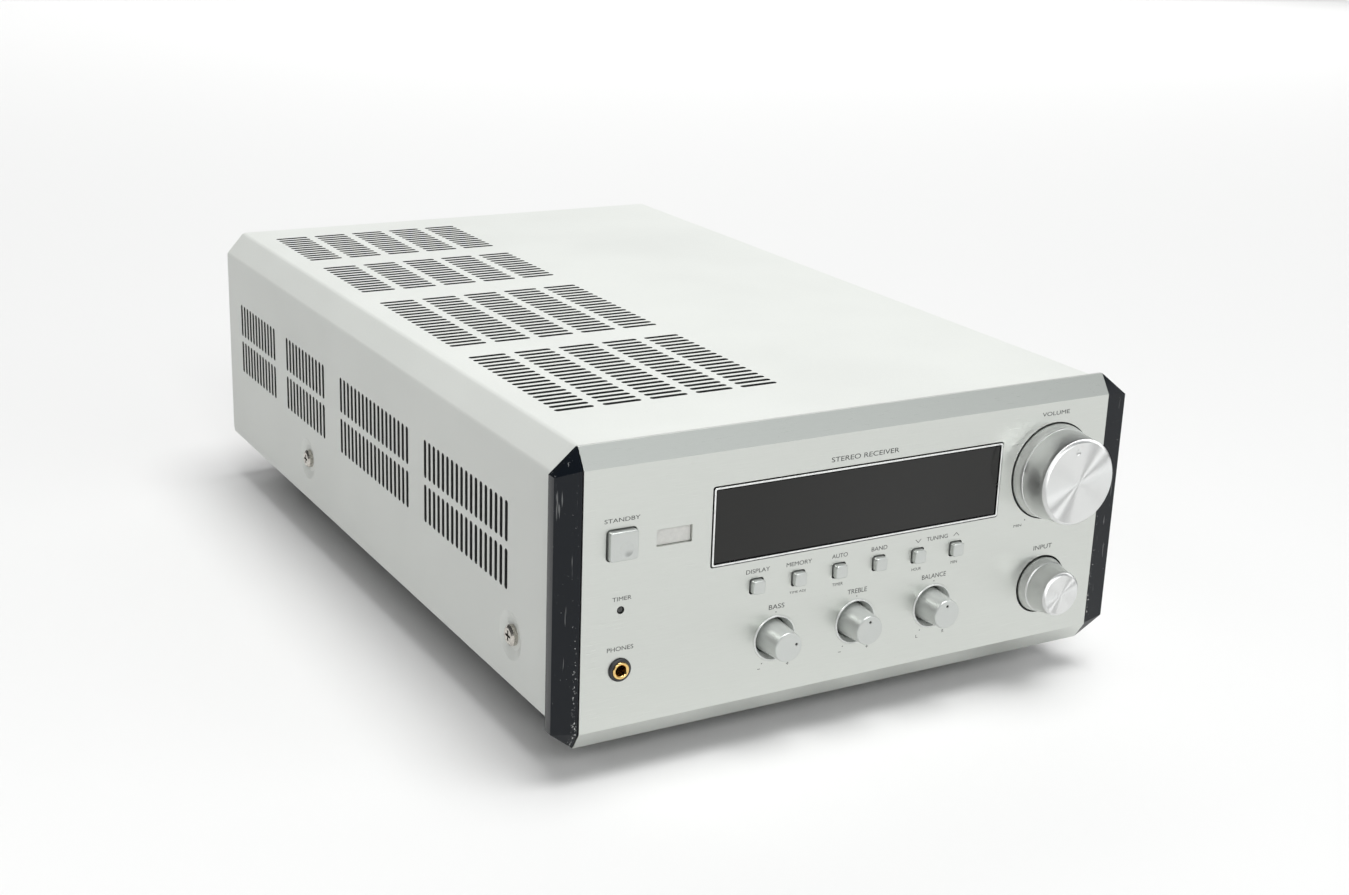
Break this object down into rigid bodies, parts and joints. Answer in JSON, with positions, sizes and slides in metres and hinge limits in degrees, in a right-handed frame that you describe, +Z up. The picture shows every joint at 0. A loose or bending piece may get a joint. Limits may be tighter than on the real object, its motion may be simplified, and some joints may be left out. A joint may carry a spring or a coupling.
{
  "type": "stereo receiver",
  "caption": "Half-width stereo receiver with a brushed aluminium front, dark display window, turning knobs, push buttons, a vented silver cover and rear sockets",
  "frame": {"origin": "centre of the overall footprint, on the surface the feet stand on", "axes": "+Z up, the fascia faces -Y, +X to the right of someone facing the fascia"},
  "size_m": [0.217, 0.348, 0.108],
  "materials": {
    "black_lever": "gloss",
    "black_plastic": "fine moulded texture",
    "brushed_fascia": "brushed along its length, clear anodised",
    "circuit_board": "solder-masked laminate",
    "copper_winding": "enamelled copper wire under tape",
    "core_steel": "varnished steel laminations",
    "display_glass": "gloss",
    "frosted_window": "frosted, translucent",
    "gloss_black": "gloss black, lightly scratched",
    "gold_contact": "gold-plated",
    "grey_cable": "flat cable",
    "led_lens": "diffused lens",
    "nickel": "nickel-plated",
    "panel_paint": "satin silver paint",
    "plated_steel": "zinc-plated sheet",
    "red_lever": "gloss",
    "rubber": "matt",
    "shaft_steel": "nickel-plated",
    "silver_cap": "satin silver coated",
    "silver_paint": "satin silver paint with a very fine metallic grain",
    "sink_aluminium": "mill finish",
    "smoked_window": "gloss, dark smoked acrylic",
    "turned_aluminium": "turned, with fine rings, clear anodised"
  },
  "bodies": {
    "chassis": {"aerial_socket": "nickel", "capacitors": "black_plastic", "chassis_base": "plated_steel", "cover_screws": "shaft_steel", "display_bezel": "gloss_black", "display_module": "display_glass", "display_window": "smoked_window", "feet": "black_plastic", "foot_pads": "rubber", "foot_screws": "shaft_steel", "front_board": "circuit_board", "front_panel": "brushed_fascia", "front_subframe": "plated_steel", "headphone_contact": "gold_contact", "headphone_jack": "black_plastic", "heat_sink": "sink_aluminium", "input_encoder": "plated_steel", "left_corner_trim": "gloss_black", "loop_aerial_socket": "black_plastic", "main_board": "circuit_board", "mains_inlet": "black_plastic", "output_transistors": "black_plastic", "phono_shells": "nickel", "phono_sockets": "black_plastic", "power_parts": "black_plastic", "rear_panel": "panel_paint", "ribbon_cable": "grey_cable", "right_corner_trim": "gloss_black", "sensor_window": "frosted_window", "speaker_block": "black_plastic", "tact_switches": "black_plastic", "timer_led": "led_lens", "tone_pots": "plated_steel", "tone_rings": "turned_aluminium", "top_cover": "silver_paint", "transformer_core": "core_steel", "transformer_winding": "copper_winding", "tuner_module": "plated_steel", "volume_pot": "plated_steel"},
    "volume_control": {"volume_knob": "turned_aluminium", "volume_shaft": "shaft_steel"},
    "input_control": {"input_knob": "turned_aluminium", "input_shaft": "shaft_steel"},
    "bass_control": {"bass_knob": "turned_aluminium", "bass_shaft": "shaft_steel"},
    "treble_control": {"treble_knob": "turned_aluminium", "treble_shaft": "shaft_steel"},
    "balance_control": {"balance_knob": "turned_aluminium", "balance_shaft": "shaft_steel"},
    "standby_button_body": {"standby_button": "silver_cap"},
    "display_button_body": {"display_button": "silver_cap"},
    "memory_button_body": {"memory_button": "silver_cap"},
    "auto_button_body": {"auto_button": "silver_cap"},
    "band_button_body": {"band_button": "silver_cap"},
    "preset_down_button_body": {"preset_down_button": "silver_cap"},
    "preset_up_button_body": {"preset_up_button": "silver_cap"},
    "speaker_lever_right_plus_body": {"speaker_lever_right_plus": "red_lever"},
    "speaker_lever_right_minus_body": {"speaker_lever_right_minus": "black_lever"},
    "speaker_lever_left_minus_body": {"speaker_lever_left_minus": "black_lever"},
    "speaker_lever_left_plus_body": {"speaker_lever_left_plus": "red_lever"}
  },
  "joints": [
    {"name": "volume_turn", "type": "hinge", "parent": "chassis", "child": "volume_control", "pos_m": [0.0774, -0.1657, 0.07745], "axis": [0, 1, 0], "range_deg": [-141, 159]},
    {"name": "input_turn", "type": "hinge", "parent": "chassis", "child": "input_control", "pos_m": [0.0774, -0.1647, 0.0364], "axis": [0, 1, 0], "continuous": true},
    {"name": "bass_turn", "type": "hinge", "parent": "chassis", "child": "bass_control", "pos_m": [-0.03065, -0.1637, 0.0364], "axis": [0, 1, 0], "range_deg": [-227, 73]},
    {"name": "treble_turn", "type": "hinge", "parent": "chassis", "child": "treble_control", "pos_m": [0.0003, -0.1637, 0.0364], "axis": [0, 1, 0], "range_deg": [-150, 150]},
    {"name": "balance_turn", "type": "hinge", "parent": "chassis", "child": "balance_control", "pos_m": [0.03125, -0.1637, 0.0364], "axis": [0, 1, 0], "range_deg": [-147, 153]},
    {"name": "standby_press", "type": "slide", "parent": "chassis", "child": "standby_button_body", "axis": [0, 1, 0], "range_m": [0, 0.0008], "stiffness_N_per_m": 400, "springref_m": -0.002},
    {"name": "display_press", "type": "slide", "parent": "chassis", "child": "display_button_body", "axis": [0, 1, 0], "range_m": [0, 0.0008], "stiffness_N_per_m": 400, "springref_m": -0.002},
    {"name": "memory_press", "type": "slide", "parent": "chassis", "child": "memory_button_body", "axis": [0, 1, 0], "range_m": [0, 0.0008], "stiffness_N_per_m": 400, "springref_m": -0.002},
    {"name": "auto_press", "type": "slide", "parent": "chassis", "child": "auto_button_body", "axis": [0, 1, 0], "range_m": [0, 0.0008], "stiffness_N_per_m": 400, "springref_m": -0.002},
    {"name": "band_press", "type": "slide", "parent": "chassis", "child": "band_button_body", "axis": [0, 1, 0], "range_m": [0, 0.0008], "stiffness_N_per_m": 400, "springref_m": -0.002},
    {"name": "preset_down_press", "type": "slide", "parent": "chassis", "child": "preset_down_button_body", "axis": [0, 1, 0], "range_m": [0, 0.0008], "stiffness_N_per_m": 400, "springref_m": -0.002},
    {"name": "preset_up_press", "type": "slide", "parent": "chassis", "child": "preset_up_button_body", "axis": [0, 1, 0], "range_m": [0, 0.0008], "stiffness_N_per_m": 400, "springref_m": -0.002},
    {"name": "lever_right_plus_press", "type": "hinge", "parent": "chassis", "child": "speaker_lever_right_plus_body", "pos_m": [-0.053, 0.1673, 0.045], "axis": [1, 0, 0], "range_deg": [0, 24], "stiffness_Nm_per_rad": 0.02, "springref_deg": -20.05},
    {"name": "lever_right_minus_press", "type": "hinge", "parent": "chassis", "child": "speaker_lever_right_minus_body", "pos_m": [-0.042, 0.1673, 0.045], "axis": [1, 0, 0], "range_deg": [0, 24], "stiffness_Nm_per_rad": 0.02, "springref_deg": -20.05},
    {"name": "lever_left_minus_press", "type": "hinge", "parent": "chassis", "child": "speaker_lever_left_minus_body", "pos_m": [-0.031, 0.1673, 0.045], "axis": [1, 0, 0], "range_deg": [0, 24], "stiffness_Nm_per_rad": 0.02, "springref_deg": -20.05},
    {"name": "lever_left_plus_press", "type": "hinge", "parent": "chassis", "child": "speaker_lever_left_plus_body", "pos_m": [-0.02, 0.1673, 0.045], "axis": [1, 0, 0], "range_deg": [0, 24], "stiffness_Nm_per_rad": 0.02, "springref_deg": -20.05}
  ]
}
